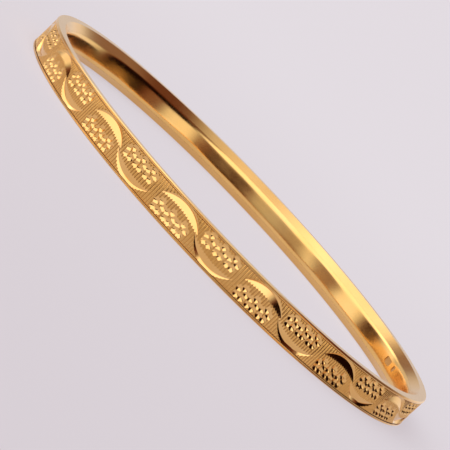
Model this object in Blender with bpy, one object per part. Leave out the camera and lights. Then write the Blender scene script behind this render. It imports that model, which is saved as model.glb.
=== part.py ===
"""A rigid gold-toned bangle, lying flat on a surface.

It is made like a lined strip bangle: a strip for the cut outer face and a smooth crowned lining,
held between two rims, with a core ring shut in between them. A seam of solder closes each strip.

Metres, with +Z up along the ring's axis. The origin is at the middle of the ring, level with the
lower rim's flat, which is the face that the bangle lies on.
"""

import math

import bmesh
import bpy
from mathutils import Matrix, Vector

# Driving dimensions
INNER_DIAMETER = 0.0603  # clear way through the crown of the lining: bangle size 2-6
WIDTH = 0.0043  # along the ring's axis, over both rims
THICKNESS = 0.0022  # from the crown of the lining to the outside of the rims

CROWN_RISE = 0.00015  # how far the middle of the lining stands proud of its edges
RIM_LAND = 0.0003  # height of a rim on the outer face
RIM_DEPTH = 0.00085  # height of a rim on the inner face, all of it sloped
RIM_BEVEL = 0.00012  # small bevel between a rim's flat and its outer face
INNER_SLOPE_RUN = 0.0008  # how far the rim's inner slope runs outwards
STRIP_RECESS = 0.00005  # the strip's ground lies this far under the rims
STRIP_THICKNESS = 0.00055
LINING_THICKNESS = 0.00075  # at the crown

FIT_GAP = 0.00005  # clearance left between pieces that are soldered together
SEAM_GAP = 0.00002  # clearance on each side of a seam
SEAM_WIDTH = 0.0004
OUTER_SEAM_AT = math.radians(90)  # the two seams lie on opposite sides of the ring
INNER_SEAM_AT = math.radians(270)

RING_SEGMENTS = 120
SEAM_SEGMENTS = 2
CROWN_SEGMENTS = 8

# Worked out from the driving dimensions
CROWN_RADIUS = INNER_DIAMETER / 2
OUTER_RADIUS = CROWN_RADIUS + THICKNESS
LINING_EDGE_RADIUS = CROWN_RADIUS + CROWN_RISE
LINING_BACK_RADIUS = CROWN_RADIUS + LINING_THICKNESS
STRIP_RADIUS = OUTER_RADIUS - STRIP_RECESS
STRIP_BACK_RADIUS = STRIP_RADIUS - STRIP_THICKNESS


def strip_profile():
    """Section of the outer strip, as (radius, height) corners."""
    low = RIM_LAND + FIT_GAP
    high = WIDTH - low
    return [
        (STRIP_BACK_RADIUS, low),
        (STRIP_RADIUS, low),
        (STRIP_RADIUS, high),
        (STRIP_BACK_RADIUS, high),
    ]


def lining_profile():
    """Section of the lining: flat at the back, and one circular arc on the side of the wrist."""
    low = RIM_DEPTH + FIT_GAP
    half_width = WIDTH / 2 - low
    arc_radius = (half_width**2 + CROWN_RISE**2) / (2 * CROWN_RISE)
    half_angle = math.asin(half_width / arc_radius)
    corners = [(LINING_BACK_RADIUS, low), (LINING_BACK_RADIUS, WIDTH - low)]
    for step in range(CROWN_SEGMENTS + 1):
        angle = half_angle * (1 - 2 * step / CROWN_SEGMENTS)
        radius = CROWN_RADIUS + arc_radius * (1 - math.cos(angle))
        corners.append((radius, WIDTH / 2 + arc_radius * math.sin(angle)))
    return corners


def core_profile():
    """Section of the core, which fills the space between the strip, the lining and the rims."""
    low = RIM_DEPTH + FIT_GAP
    inner = LINING_BACK_RADIUS + FIT_GAP
    outer = STRIP_BACK_RADIUS - FIT_GAP
    return [(inner, low), (outer, low), (outer, WIDTH - low), (inner, WIDTH - low)]


def lower_rim_profile():
    """Section of the lower rim, with a step that the strip and the core stand on."""
    step_radius = STRIP_BACK_RADIUS - FIT_GAP
    return [
        (LINING_EDGE_RADIUS + INNER_SLOPE_RUN, 0.0),
        (OUTER_RADIUS - RIM_BEVEL, 0.0),
        (OUTER_RADIUS, RIM_BEVEL),
        (OUTER_RADIUS, RIM_LAND),
        (step_radius, RIM_LAND),
        (step_radius, RIM_DEPTH),
        (LINING_EDGE_RADIUS, RIM_DEPTH),
    ]


def turned_over(profile):
    """The same section mirrored about the middle of the bangle's width."""
    return [(radius, WIDTH - height) for radius, height in profile]


def clear_scene():
    for old in list(bpy.data.objects):
        bpy.data.objects.remove(old, do_unlink=True)


def metal(name, colour, roughness):
    """A plain metallic material."""
    material = bpy.data.materials.new(name)
    material.use_nodes = True
    shader = material.node_tree.nodes["Principled BSDF"]
    shader.inputs["Base Color"].default_value = (*colour, 1.0)
    shader.inputs["Metallic"].default_value = 1.0
    shader.inputs["Roughness"].default_value = roughness
    material.diffuse_color = (*colour, 1.0)
    return material


def profile_face(shape, profile, angle):
    """The section as one face, standing at this angle round the ring."""
    turn = Matrix.Rotation(angle, 3, "Z")
    corners = [shape.verts.new(turn @ Vector((radius, 0, height))) for radius, height in profile]
    return shape.faces.new(corners)


def add_piece(name, shape, material):
    """Puts the finished shape in the scene as one named object, shaded smooth between its edges."""
    bmesh.ops.recalc_face_normals(shape, faces=shape.faces)
    mesh = bpy.data.meshes.new(name)
    shape.to_mesh(mesh)
    shape.free()
    mesh.shade_smooth()
    mesh.set_sharp_from_angle(angle=math.radians(25))
    mesh.materials.append(material)
    piece = bpy.data.objects.new(name, mesh)
    bpy.context.scene.collection.objects.link(piece)
    return piece


def closed_ring(name, profile, material):
    """A ring turned all the way round."""
    shape = bmesh.new()
    section = profile_face(shape, profile, 0.0)
    outline = list(section.edges)
    shape.faces.remove(section)
    bmesh.ops.spin(
        shape,
        geom=list(shape.verts) + outline,
        cent=(0, 0, 0),
        axis=(0, 0, 1),
        angle=2 * math.pi,
        steps=RING_SEGMENTS,
        use_merge=True,
    )
    return add_piece(name, shape, material)


def ring_arc(name, profile, material, start, sweep, steps):
    """Part of a ring, closed by a flat face at each end."""
    shape = bmesh.new()
    section = profile_face(shape, profile, start)
    bmesh.ops.spin(
        shape,
        geom=list(shape.verts) + list(shape.edges) + [section],
        cent=(0, 0, 0),
        axis=(0, 0, 1),
        angle=sweep,
        steps=steps,
    )
    return add_piece(name, shape, material)


def strip_with_seam(strip_name, seam_name, profile, material, seam_at):
    """A strip bent round to meet itself, and the seam of solder that fills the joint."""
    seam_sweep = SEAM_WIDTH / profile[0][0]
    gap_sweep = SEAM_GAP / profile[0][0]
    start = seam_at + seam_sweep / 2 + gap_sweep
    sweep = 2 * math.pi - seam_sweep - 2 * gap_sweep
    ring_arc(strip_name, profile, material, start, sweep, RING_SEGMENTS)
    seam_start = seam_at - seam_sweep / 2
    ring_arc(seam_name, profile, SOLDER, seam_start, seam_sweep, SEAM_SEGMENTS)


clear_scene()
SATIN_GOLD = metal("satin_gold", (0.80, 0.47, 0.16), 0.32)
POLISHED_GOLD = metal("polished_gold", (0.86, 0.56, 0.22), 0.12)
CORE_METAL = metal("core_metal", (0.62, 0.44, 0.22), 0.45)
SOLDER = metal("solder", (0.83, 0.60, 0.30), 0.30)

strip_with_seam("outer_strip", "outer_seam", strip_profile(), SATIN_GOLD, OUTER_SEAM_AT)
strip_with_seam("inner_lining", "inner_seam", lining_profile(), POLISHED_GOLD, INNER_SEAM_AT)
closed_ring("core_ring", core_profile(), CORE_METAL)
closed_ring("lower_rim", lower_rim_profile(), POLISHED_GOLD)
closed_ring("upper_rim", turned_over(lower_rim_profile()), POLISHED_GOLD)
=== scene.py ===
"""The finished look of a rigid gold-toned bangle, lying on a pale floor.

The outer strip is ribbed across its width and bright-cut with a running wave of crescents and with rows
of small flowers. The rims and the lining are turned and polished. Every cut is real geometry.
Metres, +Z up along the ring's axis, with the lower rim's flat at height 0.
"""
import math

import bmesh
import bpy
from mathutils import Matrix, Vector


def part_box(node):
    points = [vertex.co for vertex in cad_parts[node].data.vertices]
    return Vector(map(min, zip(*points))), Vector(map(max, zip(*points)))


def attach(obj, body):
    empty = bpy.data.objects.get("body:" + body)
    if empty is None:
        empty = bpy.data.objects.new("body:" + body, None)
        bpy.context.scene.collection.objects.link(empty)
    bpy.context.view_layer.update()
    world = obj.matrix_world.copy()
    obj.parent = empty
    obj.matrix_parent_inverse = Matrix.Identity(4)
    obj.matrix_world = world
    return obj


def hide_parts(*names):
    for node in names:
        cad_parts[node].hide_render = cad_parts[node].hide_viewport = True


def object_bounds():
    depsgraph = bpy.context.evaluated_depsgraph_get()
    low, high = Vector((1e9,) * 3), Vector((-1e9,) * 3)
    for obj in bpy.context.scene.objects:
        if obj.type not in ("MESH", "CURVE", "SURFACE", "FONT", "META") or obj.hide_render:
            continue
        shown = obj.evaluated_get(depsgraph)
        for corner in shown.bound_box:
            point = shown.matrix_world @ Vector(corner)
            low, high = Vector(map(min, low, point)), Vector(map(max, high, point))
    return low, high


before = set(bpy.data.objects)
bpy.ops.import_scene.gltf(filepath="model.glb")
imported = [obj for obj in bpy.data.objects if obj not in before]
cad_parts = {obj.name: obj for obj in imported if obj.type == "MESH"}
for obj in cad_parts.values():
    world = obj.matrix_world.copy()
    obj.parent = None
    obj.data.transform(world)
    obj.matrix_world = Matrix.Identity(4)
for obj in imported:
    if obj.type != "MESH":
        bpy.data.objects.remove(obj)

MM = 0.001

# The ring, from the frame
cad_low, cad_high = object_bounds()
strip_low, strip_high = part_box("outer_strip")
lining_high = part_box("inner_lining")[1]
WIDTH = cad_high.z - cad_low.z
MIDDLE = WIDTH / 2
OUTER_RADIUS = cad_high.x
STRIP_RADIUS = strip_high.x
STRIP_LOW = strip_low.z
STRIP_HIGH = strip_high.z
LINING_BACK = lining_high.x

# The section, as the ring was designed
STRIP_THICKNESS = 0.55 * MM
FIT_GAP = 0.05 * MM
FLUSH_GAP = 0.01 * MM
RIM_LAND = 0.30 * MM
RIM_DEPTH = 0.85 * MM
RIM_BEVEL = 0.12 * MM
INNER_SLOPE_RUN = 0.80 * MM
LINING_THICKNESS = 0.75 * MM
CROWN_RISE = 0.15 * MM
SEAM_WIDTH = 0.40 * MM
SEAM_GAP = 0.02 * MM
OUTER_SEAM_AT = math.radians(90)
INNER_SEAM_AT = math.radians(270)
STRIP_BACK = STRIP_RADIUS - STRIP_THICKNESS
CROWN_RADIUS = LINING_BACK - LINING_THICKNESS

# The cut pattern: one repeat holds a low row of flowers under an arch, then a high row over a bowl
REPEATS = 15
REPEAT_ANGLE = 2 * math.pi / REPEATS
CELL_ANGLE = REPEAT_ANGLE / 2
HIGH_ROW_AT = math.radians(-86.72)
RIBS_PER_REPEAT = 36
RIB_STEPS = 6
RIB_DEPTH = 0.06 * MM
RIB_END = 0.06 * MM
REPEAT_START = math.radians(-5.5)  # from a low row back to where only ribs cross the strip

# A crescent: a V with a long shallow flank inside its arc and a short steep one outside it
CRESCENT_RADIUS = 4.75 * MM
CRESCENT_DEPTH = 0.29 * MM
CRESCENT_TILT = math.radians(4.8)
CRESCENT_LEAN = 0.018
CRESCENT_STEPS = 160
INNER_FLANK_RUN = 2.4 * MM
INNER_FLANK_SLOPE = math.tan(math.radians(14))
OUTER_FLANK_RUN = 0.9 * MM
OUTER_FLANK_SLOPE = math.tan(math.radians(40))
ARCH_SHIFT = 0.25 * MM  # along the band, from the middle of its cell
ARCH_TIP = 1.60 * MM  # above the middle of the band
BOWL_SHIFT = 0.15 * MM
BOWL_TIP = 1.57 * MM  # below the middle of the band

# A petal, measured from the middle of its flower
PETALS = 5
PETAL_LOWEST = 0.56 * MM
PETAL_MIDDLE = 0.63 * MM
PETAL_HALF_LENGTH = 0.44 * MM
PETAL_HALF_WIDTH = 0.44 * MM
PETAL_DEPTH = 0.25 * MM

# A flower, and the three of a row
FLOWER_SINK = 0.03 * MM  # how far the petals' cuts are let into the strip
FLOWER_CLEAR = 0.10 * MM  # how high the flanks of the cuts run
FLOWER_TOP = 0.18 * MM  # the flat top of the punch, clear of the ribs
FLOWER_TURN = math.radians(54)  # one petal points straight up the band
RAYS_PER_PETAL = 8
FLOWER_RINGS = 7
FLOWER_PLACES = (-1.79 * MM, 0.013 * MM, 1.81 * MM)  # along the band
LOW_ROW = 0.74 * MM  # below the middle of the band
HIGH_ROW = 0.86 * MM  # above it

# The line turned in each rim, and the two blank punches in the bore, each of them
# (angle round the ring, height of its middle, length round the ring, height up the band)
RIM_LINE = 0.05 * MM
PUNCH_HEIGHT = 0.60 * MM
PUNCH_OFF_CROWN = 0.23 * MM  # from the crown back to the middle of the punch
PUNCH_CORNER = 0.3  # of the punch's height up the band
LONG_PUNCH = (math.radians(27.0), MIDDLE + 0.05 * MM, 1.9 * MM, 0.9 * MM)
SHORT_PUNCH = (math.radians(22.5), MIDDLE + 0.10 * MM, 0.8 * MM, 0.8 * MM)

# How finely the meshes are made
RING_STEPS = 540
LINING_STEPS = 24
CUT_SHARPEST = math.radians(32)
TURNED_SHARPEST = math.radians(24)
CUT_SLOT = 1  # the material slot of every face that a tool leaves
WELD = 0.0005 * MM
SLICE = 0.00001 * MM
SAME_ANGLE = 1e-5
NEAR_SEAM = 0.1  # radians to each side, more than a seam and its gaps

# How much the metal drifts, as noise cells per metre
DRIFT_SCALE = 180.0
SMUDGE_SCALE = 900.0
DRIFT_RANGE = (0.3, 0.7)  # of the noise, over which one colour gives way to the other


def around(angle):
    """The turn that carries +X to this angle round the ring."""
    return Matrix.Rotation(angle, 4, "Z")


def on_strip(angle, height, above=0.0):
    """A frame standing on the strip: X along the band, Y up its width and Z straight out of it."""
    lift = Matrix.Translation((STRIP_RADIUS + above, 0, height))
    axes = Matrix(((0, 0, 1, 0), (1, 0, 0, 0), (0, 1, 0, 0), (0, 0, 0, 1)))
    return around(angle) @ lift @ axes


def mesh_object(name, shape, materials):
    """Puts the finished shape in the scene as one named object."""
    mesh = bpy.data.meshes.new(name)
    shape.to_mesh(mesh)
    shape.free()
    for material in materials:
        mesh.materials.append(material)
    made = bpy.data.objects.new(name, mesh)
    bpy.context.scene.collection.objects.link(made)
    return made


def mark_edges(shape, sharpest):
    """Smooth faces, with a hard edge where two finishes meet or where the surface turns quickly."""
    for face in shape.faces:
        face.smooth = True
    for edge in shape.edges:
        if len(edge.link_faces) != 2:
            edge.smooth = False
            continue
        one, other = edge.link_faces
        turned = edge.calc_face_angle(math.pi) > sharpest
        edge.smooth = not turned and one.material_index == other.material_index


# ---------------------------------------------------------------- materials


class Socket:
    """A shader socket that can be used in ordinary arithmetic."""

    def __init__(self, nodes, link):
        self.nodes = nodes
        self.link = link

    def _math(self, operation, *values):
        return self.nodes.add("ShaderNodeMath", {"operation": operation}, *values)

    def __add__(self, other):
        return self._math("ADD", self, other)

    def __radd__(self, other):
        return self._math("ADD", other, self)

    def __sub__(self, other):
        return self._math("SUBTRACT", self, other)

    def __rsub__(self, other):
        return self._math("SUBTRACT", other, self)

    def __mul__(self, other):
        return self._math("MULTIPLY", self, other)

    def __rmul__(self, other):
        return self._math("MULTIPLY", other, self)

    def __pow__(self, other):
        return self._math("POWER", self, other)


class Nodes:
    """The node tree of one material or world, filled in by expressions."""

    def __init__(self, tree):
        self.tree = tree
        self.tree.nodes.clear()

    def add(self, kind, settings, *values, output=0, **named):
        """Adds a node: its settings first, then the values or links of its sockets.

        A value of None leaves its socket as it is.
        """
        node = self.tree.nodes.new(kind)
        for key, value in settings.items():
            setattr(node, key, value)
        pairs = [(node.inputs[place], value) for place, value in enumerate(values)]
        pairs += [(node.inputs[key.replace("_", " ")], value) for key, value in named.items()]
        for socket, value in pairs:
            if isinstance(value, Socket):
                self.tree.links.new(value.link, socket)
            elif value is not None:
                socket.default_value = value
        return Socket(self, node.outputs[output]) if node.outputs else None

    def place(self):
        """Object coordinates."""
        return self.add("ShaderNodeTexCoord", {}, output="Object")

    def split(self, vector):
        """The x, y and z of a vector."""
        first = self.add("ShaderNodeSeparateXYZ", {}, vector)
        return [Socket(self, link) for link in first.link.node.outputs]

    def join(self, x, y, z):
        return self.add("ShaderNodeCombineXYZ", {}, x, y, z)

    def smooth_step(self, value, low, high, start=0.0, end=1.0):
        return self.add(
            "ShaderNodeMapRange",
            {"interpolation_type": "SMOOTHSTEP"},
            value,
            low,
            high,
            start,
            end,
        )

    def noise(self, vector, scale, detail=2.0, roughness=0.5):
        return self.add(
            "ShaderNodeTexNoise",
            {"normalize": True},
            Vector=vector,
            Scale=scale,
            Detail=detail,
            Roughness=roughness,
        )

    def blend(self, factor, first, second):
        """Two colours, blended. The colour sockets come after the ones for numbers and vectors."""
        others = [None] * 5
        return self.add(
            "ShaderNodeMix", {"data_type": "RGBA"}, factor, *others, first, second, output=2
        )


def painted_valley_shade(nodes, place, tint, valley_shade_colour):
    """The tint, giving way to a painted shade with depth under the tops of the ribs: shade painted into the
    valleys between them.
    """
    x, y, _ = nodes.split(place)
    depth = STRIP_RADIUS - (x * x + y * y) ** 0.5
    return nodes.blend(nodes.smooth_step(depth, 0.25 * RIB_DEPTH, RIB_DEPTH), tint, (*valley_shade_colour, 1))


def tool_relief(nodes, place, lines, flare, ripples):
    """The fine lines that a tool left, and the lean and the roll of the surface, as a bump."""
    across, along, height = lines
    x, y, z = nodes.split(place)
    turn = nodes.add("ShaderNodeMath", {"operation": "ARCTAN2"}, y, x)
    unrolled = nodes.join(turn * (OUTER_RADIUS * along), z * across, 0.0)
    relief = nodes.noise(unrolled, 1.0) * height
    if flare:
        lean = 0.0
        for count, slope, phase in ripples:
            roll = nodes.add("ShaderNodeMath", {"operation": "SINE"}, turn * count + phase)
            lean = roll * slope + lean
        relief = relief - (lean + flare) * (z - MIDDLE)
    return nodes.add("ShaderNodeBump", {}, Strength=1.0, Distance=1.0, Height=relief)


def gold(
    name, colour, deep, roughness, rough_spread, lines=None, flare=0.0, ripples=(), valley_shade_colour=None
):
    """A metal whose colour and gloss drift a little, with the fine lines that its tool left.

    lines is (across, along, height): how many noise cells per metre across and along the lines, on the
    unrolled ring, and how high the lines stand. flare leans the surface, and ripples, each of them
    (count round the ring, slope, phase), make it roll. The last colour is a painted shade, darker between
    the ribs where their valleys fall into shade.
    """
    material = bpy.data.materials.new(name)
    material.use_nodes = True
    nodes = Nodes(material.node_tree)
    place = nodes.place()
    drift = nodes.noise(place, DRIFT_SCALE, 3.0)
    smudge = nodes.noise(place, SMUDGE_SCALE, 4.0)
    tint = nodes.blend(nodes.smooth_step(drift, *DRIFT_RANGE), (*deep, 1), (*colour, 1))
    # painted shade: a darker colour painted into the valleys between the ribs
    if valley_shade_colour:
        tint = painted_valley_shade(nodes, place, tint, valley_shade_colour)
    spread = (smudge - 0.5) * rough_spread
    sockets = {"Base_Color": tint, "Metallic": 1.0, "Roughness": spread + roughness}
    if lines:
        sockets["Normal"] = tool_relief(nodes, place, lines, flare, ripples)
    shader = nodes.add("ShaderNodeBsdfPrincipled", {}, **sockets)
    nodes.add("ShaderNodeOutputMaterial", {}, shader)
    material.diffuse_color = (*colour, 1)
    return material


LINING_RIPPLES = [(9, 0.020, 0.6), (14, 0.016, 2.1), (23, 0.010, 4.0)]

SATIN = gold(
    "ribbed_gold",
    (0.88, 0.51, 0.165),
    (0.82, 0.45, 0.125),
    0.26,
    0.10,
    (2500, 30000, 0.002 * MM),
    flare=0.06,
    # painted shade in the valleys between the ribs
    valley_shade_colour=(0.52, 0.25, 0.06),
)
BRIGHT_CUT = gold("bright_cut_gold", (0.91, 0.56, 0.21), (0.87, 0.51, 0.17), 0.09, 0.04)
RIM_GOLD = gold(
    "turned_gold", (0.87, 0.54, 0.20), (0.83, 0.49, 0.17), 0.18, 0.06, (40000, 400, 0.0015 * MM)
)
LINING_GOLD = gold(
    "polished_gold",
    (0.92, 0.58, 0.21),
    (0.88, 0.53, 0.17),
    0.16,
    0.06,
    (9000, 500, 0.001 * MM),
    flare=0.16,
    ripples=LINING_RIPPLES,
)
PUNCHED = gold("punched_gold", (0.72, 0.41, 0.13), (0.66, 0.36, 0.11), 0.34, 0.10)
SOLDER = gold("filed_solder", (0.86, 0.60, 0.28), (0.80, 0.54, 0.24), 0.28, 0.12)
CORE_METAL = gold("drawn_brass", (0.62, 0.44, 0.22), (0.50, 0.34, 0.16), 0.45, 0.20)


# ---------------------------------------------------------------- the cut strip


def ribbed_blank():
    """One repeat of the strip before it is cut: cross ribs outside, plain inside, closed all round."""
    shape = bmesh.new()
    rows = [STRIP_LOW, STRIP_LOW + RIB_END, STRIP_HIGH - RIB_END, STRIP_HIGH]
    last = len(rows) - 1
    steps = RIBS_PER_REPEAT * RIB_STEPS
    bmesh.ops.create_grid(shape, x_segments=steps, y_segments=last, size=0.5)
    for vert in shape.verts:
        across = (vert.co.x + 0.5) * RIBS_PER_REPEAT % 1.0
        row = round((vert.co.y + 0.5) * last)
        depth = RIB_DEPTH * abs(2 * across - 1) ** 2
        if row in (0, last):
            depth = max(depth, RIB_END)
        angle = REPEAT_START + (vert.co.x + 0.5) * REPEAT_ANGLE
        radius = STRIP_RADIUS - depth
        vert.co = (radius * math.cos(angle), radius * math.sin(angle), rows[row])
    front = list(shape.faces)
    back = bmesh.ops.extrude_face_region(shape, geom=front)["geom"]
    for vert in (item for item in back if isinstance(item, bmesh.types.BMVert)):
        vert.co.xy = vert.co.xy.normalized() * STRIP_BACK
    bmesh.ops.triangulate(shape, faces=shape.faces)
    bmesh.ops.recalc_face_normals(shape, faces=shape.faces)
    return mesh_object("blank", shape, [SATIN, BRIGHT_CUT])


def crescent_tool(angle, tip_height, up):
    """A spinning V-shaped cutter. Its edge runs on a circle that dips into the strip along an arc.

    up is 1 for an arch and -1 for a bowl. The circle is tilted, so that the cut is deepest where the arc
    is furthest from the middle of the band, and leans sideways, which draws one end of it out.
    """
    shape = bmesh.new()
    corners = [
        (CRESCENT_RADIUS, 0.0),
        (CRESCENT_RADIUS + OUTER_FLANK_RUN, OUTER_FLANK_RUN * OUTER_FLANK_SLOPE),
        (CRESCENT_RADIUS - INNER_FLANK_RUN, INNER_FLANK_RUN * INNER_FLANK_SLOPE),
    ]
    verts = [shape.verts.new((radius, 0, height)) for radius, height in corners]
    edges = [shape.edges.new((verts[i], verts[i - 1])) for i in range(3)]
    bmesh.ops.spin(
        shape,
        geom=verts + edges,
        cent=(0, 0, 0),
        axis=(0, 0, 1),
        angle=2 * math.pi,
        steps=CRESCENT_STEPS,
        use_merge=True,
    )
    lift = -CRESCENT_DEPTH + CRESCENT_RADIUS * math.sin(CRESCENT_TILT)
    stand = on_strip(angle, tip_height - up * CRESCENT_RADIUS, lift)
    tilt = Matrix.Rotation(-up * CRESCENT_TILT, 4, "X")
    turn = tilt @ Matrix.Rotation(up * CRESCENT_LEAN, 4, "Y")
    shape.transform(stand @ turn)
    bmesh.ops.triangulate(shape, faces=shape.faces)
    bmesh.ops.recalc_face_normals(shape, faces=shape.faces)
    return mesh_object("crescent_tool", shape, [SATIN, BRIGHT_CUT])


def petal_rise(x, y):
    """Height of one petal's cut over the point x along the petal and y across it.

    The cut is a leaning cone. Its lowest point is near the middle of the flower, and its long gentle side
    faces inwards from the petal's round end.
    """
    lean = PETAL_MIDDLE - PETAL_LOWEST
    along = x - PETAL_LOWEST
    spread = along**2 + (y * PETAL_HALF_LENGTH / PETAL_HALF_WIDTH) ** 2
    squash = PETAL_HALF_LENGTH**2 - lean**2
    grown = (math.sqrt((along * lean) ** 2 + squash * spread) - along * lean) / squash
    return PETAL_DEPTH * (grown - 1)


def petal_reach(across, level):
    """How far from the middle of the flower the cut rises to this level.

    across is the angle between the ray that this is measured along and the middle line of the petal.
    """
    grown = 1 + level / PETAL_DEPTH
    centre = PETAL_LOWEST + (PETAL_MIDDLE - PETAL_LOWEST) * grown
    long_side, short_side = PETAL_HALF_LENGTH * grown, PETAL_HALF_WIDTH * grown
    square = (math.cos(across) / long_side) ** 2 + (math.sin(across) / short_side) ** 2
    half = math.cos(across) * centre / long_side**2
    rest = (centre / long_side) ** 2 - 1
    return (half + math.sqrt(half**2 - square * rest)) / square


def flower_tool(angle, height):
    """A petalled punch: rays from its middle, each following the cut of the petal that it lies in."""
    rays = RAYS_PER_PETAL * PETALS
    half_petal = math.pi / PETALS
    shape = bmesh.new()
    middle = shape.verts.new((0, 0, FLOWER_CLEAR))
    inner = [middle] * rays
    for ring in range(1, FLOWER_RINGS + 2):
        outer = []
        for ray in range(rays):
            turn = 2 * math.pi * ray / rays
            across = turn % (2 * half_petal) - half_petal
            reach = petal_reach(across, FLOWER_CLEAR) * min(ring, FLOWER_RINGS) / FLOWER_RINGS
            rise = petal_rise(reach * math.cos(across), reach * math.sin(across))
            rise = FLOWER_TOP if ring > FLOWER_RINGS else min(rise, FLOWER_CLEAR)
            turn += FLOWER_TURN
            outer.append(shape.verts.new((reach * math.cos(turn), reach * math.sin(turn), rise)))
        for ray in range(rays):
            corners = [inner[ray - 1], outer[ray - 1], outer[ray], inner[ray]]
            shape.faces.new(corners if ring > 1 else corners[:3])
        inner = outer
    shape.faces.new(inner)
    shape.transform(on_strip(angle, height, -FLOWER_SINK))
    bmesh.ops.triangulate(shape, faces=shape.faces)
    bmesh.ops.recalc_face_normals(shape, faces=shape.faces)
    return mesh_object("flower_tool", shape, [SATIN, BRIGHT_CUT])


def repeat_tools():
    """Every cutter for one repeat of the pattern: an arch over low flowers, then a bowl under high ones."""
    along = 1 / STRIP_RADIUS
    tools = [
        crescent_tool(ARCH_SHIFT * along, MIDDLE + ARCH_TIP, 1),
        crescent_tool(CELL_ANGLE + BOWL_SHIFT * along, MIDDLE - BOWL_TIP, -1),
    ]
    for step in FLOWER_PLACES:
        tools.append(flower_tool(step * along, MIDDLE - LOW_ROW))
        tools.append(flower_tool(CELL_ANGLE + step * along, MIDDLE + HIGH_ROW))
    return tools


def cut_away(blank, tools):
    """The blank's mesh with every tool's shape taken out of it."""
    rack = bpy.data.collections.new("tools")
    for tool in tools:
        for face in tool.data.polygons:
            face.material_index = CUT_SLOT
        bpy.context.scene.collection.objects.unlink(tool)
        rack.objects.link(tool)
    bpy.context.scene.collection.children.link(rack)
    cut = blank.modifiers.new("cuts", "BOOLEAN")
    cut.operation = "DIFFERENCE"
    cut.solver = "EXACT"
    cut.operand_type = "COLLECTION"
    cut.collection = rack
    cut.material_mode = "INDEX"
    graph = bpy.context.evaluated_depsgraph_get()
    shape = bmesh.new()
    shape.from_object(blank, graph)
    for tool in tools:
        bpy.data.objects.remove(tool, do_unlink=True)
    bpy.data.collections.remove(rack)
    bpy.data.objects.remove(blank, do_unlink=True)
    return shape


def open_ends(shape):
    """Takes off the two flat faces at the ends of a repeat."""
    ends = (REPEAT_START, REPEAT_START + REPEAT_ANGLE)
    caps = []
    for face in shape.faces:
        angles = [math.atan2(vert.co.y, vert.co.x) for vert in face.verts]
        if any(all(abs(angle - end) < SAME_ANGLE for angle in angles) for end in ends):
            caps.append(face)
    bmesh.ops.delete(shape, geom=caps, context="FACES")


def cut_strip():
    """The whole strip: one cut repeat, carried round the ring and welded to itself."""
    shape = cut_away(ribbed_blank(), repeat_tools())
    open_ends(shape)
    bmesh.ops.spin(
        shape,
        geom=list(shape.verts) + list(shape.edges) + list(shape.faces),
        cent=(0, 0, 0),
        axis=(0, 0, 1),
        angle=REPEAT_ANGLE * (REPEATS - 1),
        steps=REPEATS - 1,
        use_duplicate=True,
    )
    bmesh.ops.remove_doubles(shape, verts=shape.verts, dist=WELD)
    shape.transform(around(HIGH_ROW_AT - CELL_ANGLE))
    return shape


def part_ring(ring, middle, half_sweep, keep_piece):
    """A closed ring with a short piece taken out of it, or only that piece. The ends are flat."""
    shape = ring.copy()
    back = around(-middle)

    def turned_from_middle(face):
        centre = back @ face.calc_center_median()
        return math.atan2(centre.y, centre.x)

    for end in (-half_sweep, half_sweep):
        near = [face for face in shape.faces if abs(turned_from_middle(face)) < NEAR_SEAM]
        corners = {item for face in near for item in list(face.verts) + list(face.edges)}
        bmesh.ops.bisect_plane(
            shape,
            geom=near + list(corners),
            dist=SLICE,
            plane_co=(0, 0, 0),
            plane_no=around(middle + end) @ Vector((0, 1, 0)),
        )
    piece = {face for face in shape.faces if abs(turned_from_middle(face)) < half_sweep}
    unwanted = set(shape.faces) - piece if keep_piece else piece
    bmesh.ops.delete(shape, geom=list(unwanted), context="FACES")
    open_rims = [edge for edge in shape.edges if len(edge.link_faces) == 1]
    bmesh.ops.holes_fill(shape, edges=open_rims)
    return shape


def ring_and_seam(ring_name, seam_name, ring, seam_at, back_radius, materials):
    """Opens a ring where it was soldered, and closes it again with a separate seam.

    The seam's faces keep their slots, so solder fills every one of them.
    """
    half_seam = SEAM_WIDTH / 2 / back_radius
    half_gap = half_seam + SEAM_GAP / back_radius
    body = part_ring(ring, seam_at, half_gap, False)
    seam = part_ring(ring, seam_at, half_seam, True)
    ring.free()
    solder = [SOLDER] * len(materials)
    made = []
    for name, shape, finishes in ((ring_name, body, materials), (seam_name, seam, solder)):
        bmesh.ops.recalc_face_normals(shape, faces=shape.faces)
        mark_edges(shape, CUT_SHARPEST)
        made.append(mesh_object(name, shape, finishes))
    return made


# ---------------------------------------------------------------- rims and lining


def turned_ring(name, profile, material):
    """A ring turned from a closed section of (radius, height) corners."""
    shape = bmesh.new()
    verts = [shape.verts.new((radius, 0, height)) for radius, height in profile]
    edges = [shape.edges.new((verts[i - 1], verts[i])) for i in range(len(verts))]
    bmesh.ops.spin(
        shape,
        geom=verts + edges,
        cent=(0, 0, 0),
        axis=(0, 0, 1),
        angle=2 * math.pi,
        steps=RING_STEPS,
        use_merge=True,
    )
    bmesh.ops.recalc_face_normals(shape, faces=shape.faces)
    mark_edges(shape, TURNED_SHARPEST)
    return mesh_object(name, shape, [material])


def lower_rim_profile():
    """Section of the lower rim: a fine line in its outer land, and a step that the strip stands on."""
    step_radius = STRIP_BACK - FIT_GAP
    slope_foot = CROWN_RADIUS + CROWN_RISE
    return [
        (slope_foot + INNER_SLOPE_RUN, 0.0),
        (OUTER_RADIUS - RIM_BEVEL, 0.0),
        (OUTER_RADIUS, RIM_BEVEL),
        (OUTER_RADIUS - RIM_LINE, RIM_BEVEL + RIM_LINE),
        (OUTER_RADIUS, RIM_BEVEL + 2 * RIM_LINE),
        (OUTER_RADIUS, RIM_LAND),
        (step_radius, RIM_LAND),
        (step_radius, RIM_DEPTH),
        (slope_foot, RIM_DEPTH),
    ]


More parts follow.
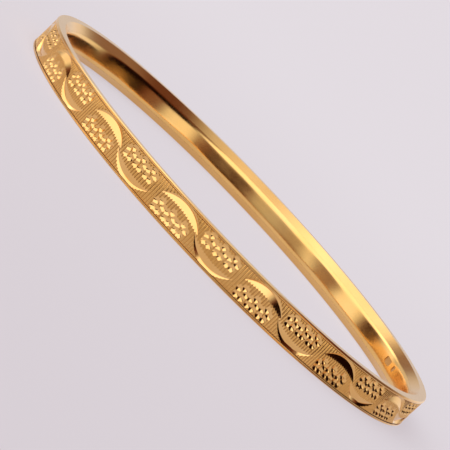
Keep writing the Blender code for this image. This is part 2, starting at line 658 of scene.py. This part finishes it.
def lining_profile():
    """Flat at the back, and towards the wrist nearly flat in the middle with well rounded sides.

    Its edges all but meet the rims, because the solder there is filed flush.
    """
    half_width = MIDDLE - RIM_DEPTH - FLUSH_GAP
    corners = [(LINING_BACK, MIDDLE - half_width), (LINING_BACK, MIDDLE + half_width)]
    for step in range(LINING_STEPS + 1):
        across = 1 - 2 * step / LINING_STEPS
        corners.append((CROWN_RADIUS + CROWN_RISE * across**6, MIDDLE + half_width * across))
    return corners


def punch_tool(angle, height, length, tall):
    """A blank punch with rounded corners, standing on the bore."""
    shape = bmesh.new()
    bmesh.ops.create_cube(shape, size=1.0)
    bmesh.ops.scale(shape, verts=shape.verts, vec=(length, tall, PUNCH_HEIGHT))
    upright = [
        edge
        for edge in shape.edges
        if abs(edge.verts[0].co.z - edge.verts[1].co.z) > PUNCH_HEIGHT / 2
    ]
    bmesh.ops.bevel(
        shape,
        geom=upright,
        offset=PUNCH_CORNER * tall,
        segments=5,
        profile=0.5,
        affect="EDGES",
        material=-1,
    )
    axes = Matrix(((0, 0, -1, 0), (-1, 0, 0, 0), (0, 1, 0, 0), (0, 0, 0, 1)))
    lift = Matrix.Translation((CROWN_RADIUS - PUNCH_OFF_CROWN, 0, height))
    shape.transform(around(angle) @ lift @ axes)
    bmesh.ops.triangulate(shape, faces=shape.faces)
    bmesh.ops.recalc_face_normals(shape, faces=shape.faces)
    return mesh_object("punch_tool", shape, [LINING_GOLD, PUNCHED])


def punched_lining():
    """The lining with its two blank control punches."""
    blank = turned_ring("lining_blank", lining_profile(), LINING_GOLD)
    blank.data.materials.append(PUNCHED)
    return cut_away(blank, [punch_tool(*LONG_PUNCH), punch_tool(*SHORT_PUNCH)])


def turned_over(profile):
    """The same section, mirrored about the middle of the bangle's width."""
    return [(radius, WIDTH - height) for radius, height in profile]


# ---------------------------------------------------------------- stage, light and camera


# The floor's glow near the camera and far from it, and where it changes along Y
NEAR_GLOW = (0.441, 0.396, 0.441, 1)
FAR_GLOW = (0.538, 0.503, 0.548, 1)
GLOW_FROM, GLOW_TO = -0.30, 0.25
FLOOR_RADIUS = 6.0


def floor():
    """A round pale sheet that glows evenly from side to side and brightens away from the camera."""
    material = bpy.data.materials.new("floor_sheet")
    material.use_nodes = True
    nodes = Nodes(material.node_tree)
    _, y, _ = nodes.split(nodes.place())
    away = nodes.smooth_step(y, GLOW_FROM, GLOW_TO)
    glow = nodes.blend(away, NEAR_GLOW, FAR_GLOW)
    shader = nodes.add(
        "ShaderNodeBsdfPrincipled",
        {},
        Base_Color=(0.25, 0.25, 0.25, 1),
        Roughness=0.9,
        Specular_IOR_Level=0.0,
        Emission_Color=glow,
        Emission_Strength=1.0,
    )
    nodes.add("ShaderNodeOutputMaterial", {}, shader)
    shape = bmesh.new()
    bmesh.ops.create_circle(shape, cap_ends=True, segments=96, radius=FLOOR_RADIUS)
    mesh_object("floor", shape, [material])


# The room: (from, to) round the horizon, where 0 is the camera's side and 90 is +X, then (from, to) above
# the horizon, all in degrees, then how soft the edges are and how much light the patch adds
ROOM = [
    (-135, 43, 17, 74, 6, 1.30),  # the window
    (-200, 200, 68, 200, 6, 0.60),  # the ceiling
    (38, 118, -20, 46, 8, -0.29),  # the dark wall on the right
    (58, 118, 46, 66, 6, -0.16),  # the same wall, less dark towards the ceiling
    (127, 170, -20, 22, 6, 0.25),  # a pale patch behind, on the right
    (64, 80, -20, 16, 4, 0.22),  # a paler strip in the dark wall
    (2, 33, -20, 19, 4, -0.26),  # a dark shape just right of the camera
    (-20, 2, -20, 15, 6, 0.16),  # a faint patch at the camera
    (-44, -36, -20, 17, 4, 0.70),  # a narrow bright strip, front left
    (-84, -64, -20, 17, 4, 0.90),  # a bright patch on the left
    (-103, -88, -20, 20, 4, -0.26),  # a dark shape on the left
    (-124, -107, -20, 30, 4, 0.80),  # a bright patch behind, on the left
    (42, 64, -20, 15, 4, 1.20),  # a bright patch, front right
]
ROOM_LIGHT = 0.30  # what comes from every direction, before the patches
BACKDROP_LIGHT = 0.42  # what the far side adds, low down
BACKDROP_EDGE = (0.35, 0.75)  # where it begins and is full, as the Y of a direction
BACKDROP_TOP = (14.0, 24.0)  # where it fades, in degrees above the horizon
SHADE_RANGE = (0.05, 0.5)  # the light over which the shade's colour gives way to the pale one
WARM_SHADE = (1.0, 0.25, 0.12, 1)
PALE_LIGHT = (1.0, 0.96, 0.95, 1)


def studio():
    """The room round the table, as light that comes from each direction."""
    world = bpy.data.worlds.new("studio")
    world.use_nodes = True
    bpy.context.scene.world = world
    nodes = Nodes(world.node_tree)
    x, y, z = nodes.split(nodes.add("ShaderNodeTexCoord", {}, output="Generated"))
    degree = 180 / math.pi
    turn = nodes.add("ShaderNodeMath", {"operation": "ARCTAN2"}, x, y * -1.0) * degree
    rise = nodes.add("ShaderNodeMath", {"operation": "ARCSINE"}, z) * degree
    strength = ROOM_LIGHT
    for left, right, low, high, soft, light in ROOM:
        across = nodes.smooth_step(turn, left - soft, left + soft)
        across = across * nodes.smooth_step(turn, right - soft, right + soft, 1.0, 0.0)
        up = nodes.smooth_step(rise, low - soft, low + soft)
        up = up * nodes.smooth_step(rise, high - soft, high + soft, 1.0, 0.0)
        strength = strength + across * up * light
    low_down = nodes.smooth_step(rise, *BACKDROP_TOP, 1.0, 0.0)
    backdrop = nodes.smooth_step(y, *BACKDROP_EDGE) * low_down
    strength = strength + backdrop * BACKDROP_LIGHT
    bright = nodes.smooth_step(strength, *SHADE_RANGE)
    colour = nodes.blend(bright, WARM_SHADE, PALE_LIGHT)
    sky = nodes.add("ShaderNodeBackground", {}, Color=colour, Strength=strength)
    nodes.add("ShaderNodeOutputWorld", {}, sky)


# The camera: distances in outer radii, angles in radians, the lens and its sensor in millimetres
CAMERA_REACH = 10.502
CAMERA_RISE = 0.1325
CAMERA_ROLL = 0.8119
AIM_RIGHT = 0.0002
AIM_DOWN = 0.0378
LENS = 221.9
SENSOR = 36.0


def camera():
    """A long lens, low over the table, turned so that the bangle lies along the view's diagonal."""
    reach = CAMERA_REACH * OUTER_RADIUS
    back, lift = reach * math.cos(CAMERA_RISE), reach * math.sin(CAMERA_RISE)
    place = Vector((0, -back, MIDDLE + lift))
    aim = Vector((AIM_RIGHT * OUTER_RADIUS, 0, MIDDLE - AIM_DOWN * OUTER_RADIUS))
    ahead = (aim - place).normalized()
    right = ahead.cross(Vector((0, 0, 1))).normalized()
    up = right.cross(ahead)
    side = right * math.cos(CAMERA_ROLL) + up * math.sin(CAMERA_ROLL)
    top = up * math.cos(CAMERA_ROLL) - right * math.sin(CAMERA_ROLL)
    data = bpy.data.cameras.new("camera")
    data.lens = LENS
    data.sensor_width = SENSOR
    data.clip_start = 0.01
    data.clip_end = 50.0
    made = bpy.data.objects.new("camera", data)
    made.matrix_world = Matrix(
        (
            (side.x, top.x, -ahead.x, place.x),
            (side.y, top.y, -ahead.y, place.y),
            (side.z, top.z, -ahead.z, place.z),
            (0, 0, 0, 1),
        )
    )
    bpy.context.scene.collection.objects.link(made)
    bpy.context.scene.camera = made


# ---------------------------------------------------------------- assembly


def finish_piece(piece, slot, *nodes):
    """Ties a piece to the body and hides the nodes that it takes the place of. Its slot is not used."""
    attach(piece, "root")
    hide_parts(*nodes)


bpy.context.scene.view_settings.view_transform = "Standard"
floor()
studio()
camera()

strip, strip_seam = ring_and_seam(
    "cut_strip", "strip_seam", cut_strip(), OUTER_SEAM_AT, STRIP_BACK, [SATIN, BRIGHT_CUT]
)
finish_piece(strip, "satin_gold", "outer_strip")
finish_piece(strip_seam, "solder", "outer_seam")
lower_rim = turned_ring("turned_lower_rim", lower_rim_profile(), RIM_GOLD)
finish_piece(lower_rim, "rim_gold", "lower_rim")
upper_rim = turned_ring("turned_upper_rim", turned_over(lower_rim_profile()), RIM_GOLD)
finish_piece(upper_rim, "rim_gold", "upper_rim")
lining, lining_seam = ring_and_seam(
    "polished_lining",
    "lining_seam",
    punched_lining(),
    INNER_SEAM_AT,
    LINING_BACK,
    [LINING_GOLD, PUNCHED],
)
finish_piece(lining, "lining_gold", "inner_lining")
finish_piece(lining_seam, "solder", "inner_seam")

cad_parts["core_ring"].material_slots[0].material = CORE_METAL
